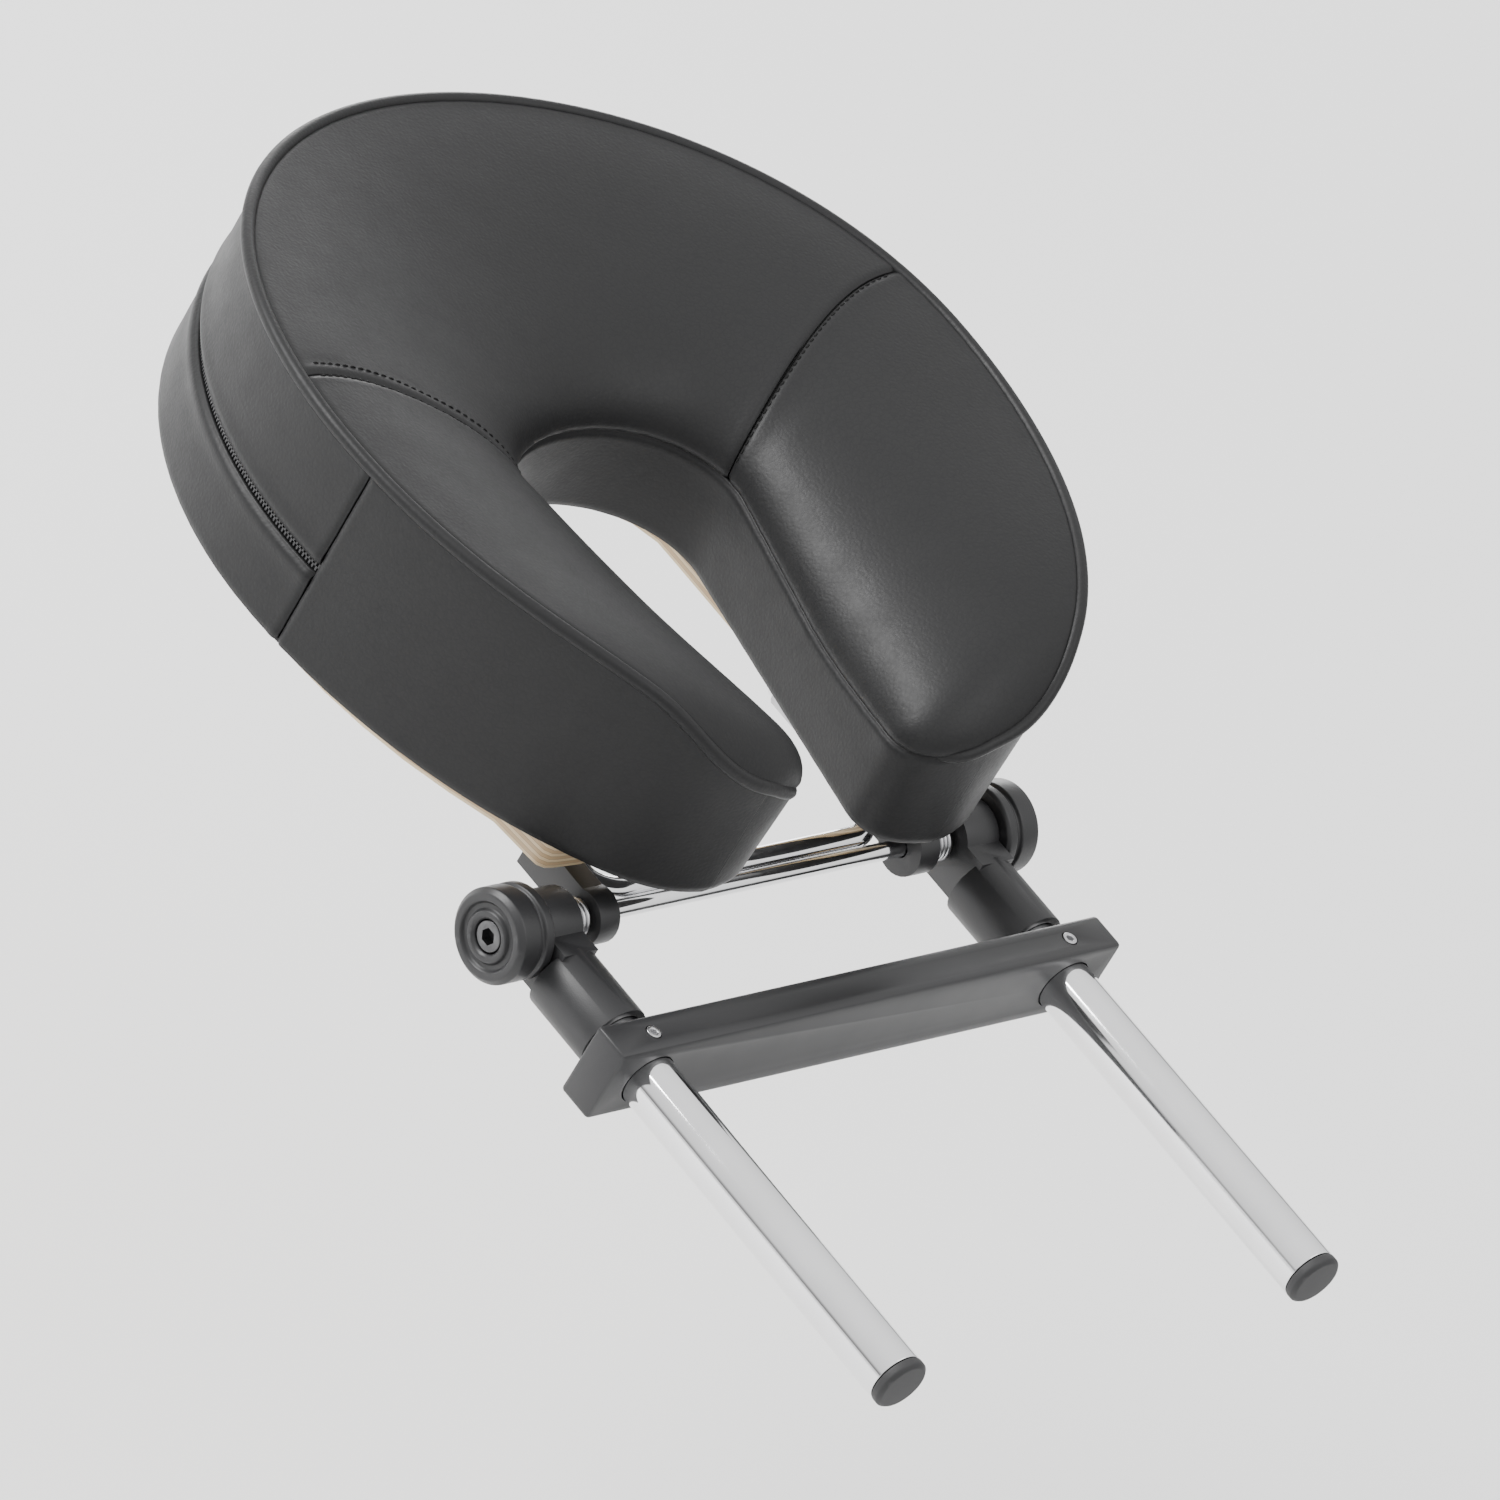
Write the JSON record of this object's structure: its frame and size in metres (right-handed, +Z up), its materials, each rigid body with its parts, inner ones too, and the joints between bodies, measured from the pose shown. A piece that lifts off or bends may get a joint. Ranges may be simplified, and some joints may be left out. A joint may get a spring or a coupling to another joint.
{
  "type": "face cradle",
  "caption": "Horseshoe face cushion on a tilting plywood platform, with a clamped hinge and two posts that plug into the end of a massage table.",
  "frame": {"origin": "centre of the stop bar's flat back, which butts against the table's end", "axes": "+X across the cradle, +Y away from the table along the posts, +Z up from the platform to the cushion's face side"},
  "size_m": [0.2864, 0.4619, 0.1218],
  "materials": {
    "cover": "satin",
    "zip": "matte",
    "foam": "matte",
    "comfort": "matte",
    "tape": "matte",
    "plywood": "satin",
    "chrome": "polished",
    "steel": "satin",
    "plastic": "satin"
  },
  "bodies": {
    "mounting_frame": {"stop_bar": "plastic", "post_left": "chrome", "post_right": "chrome", "post_cap_left": "plastic", "post_cap_right": "plastic", "grub_screw_left": "steel", "grub_screw_right": "steel", "post_hub_left": "plastic", "post_hub_right": "plastic", "tie_rod": "chrome", "hinge_spring_left": "steel", "hinge_spring_right": "steel"},
    "platform": {"platform_board": "plywood", "carrier_rod": "chrome", "hinge_collar_left": "plastic", "hinge_collar_right": "plastic", "saddle_clip_left": "steel", "saddle_clip_right": "steel", "clip_screw_left_1": "steel", "clip_screw_left_2": "steel", "clip_screw_right_1": "steel", "clip_screw_right_2": "steel", "hook_strip_left": "tape", "hook_strip_crown": "tape", "hook_strip_right": "tape"},
    "cushion": {"foam_core": "foam", "comfort_layer": "comfort", "crown_panel": "cover", "left_arm_panel": "cover", "right_arm_panel": "cover", "upper_boxing": "cover", "lower_boxing": "cover", "left_boxing": "cover", "right_boxing": "cover", "inner_boxing": "cover", "base_panel": "cover", "welt": "cover", "zip_chain": "zip", "loop_strip_left": "tape", "loop_strip_crown": "tape", "loop_strip_right": "tape"},
    "slider": {"zip_slider": "steel"},
    "pull": {"zip_pull": "steel"},
    "left_knob": {"clamp_knob_left": "plastic", "knob_bolt_left": "steel"},
    "right_knob": {"clamp_knob_right": "plastic", "knob_bolt_right": "steel"}
  },
  "joints": [
    {"name": "platform_tilt", "type": "hinge", "parent": "mounting_frame", "child": "platform", "pos_m": [0, 0.062, 0], "axis": [1, 0, 0], "range_deg": [-45, 35]},
    {"name": "cushion_lift", "type": "slide", "parent": "platform", "child": "cushion", "axis": [0, 0, 1], "range_m": [0, 0.12]},
    {"name": "zip_slide", "type": "hinge", "parent": "cushion", "child": "slider", "pos_m": [0, 0.187, 0.0558], "axis": [0, 0, 1], "range_deg": [0, 182]},
    {"name": "pull_swing", "type": "hinge", "parent": "slider", "child": "pull", "pos_m": [0.14408, 0.18449, 0.0558], "axis": [0, 0, -1], "range_deg": [0, 170]},
    {"name": "left_knob_turn", "type": "hinge", "parent": "mounting_frame", "child": "left_knob", "pos_m": [-0.1042, 0.062, 0], "axis": [-1, 0, 0], "range_deg": [0, 360]},
    {"name": "right_knob_turn", "type": "hinge", "parent": "mounting_frame", "child": "right_knob", "pos_m": [0.1042, 0.062, 0], "axis": [1, 0, 0], "range_deg": [0, 360]}
  ]
}
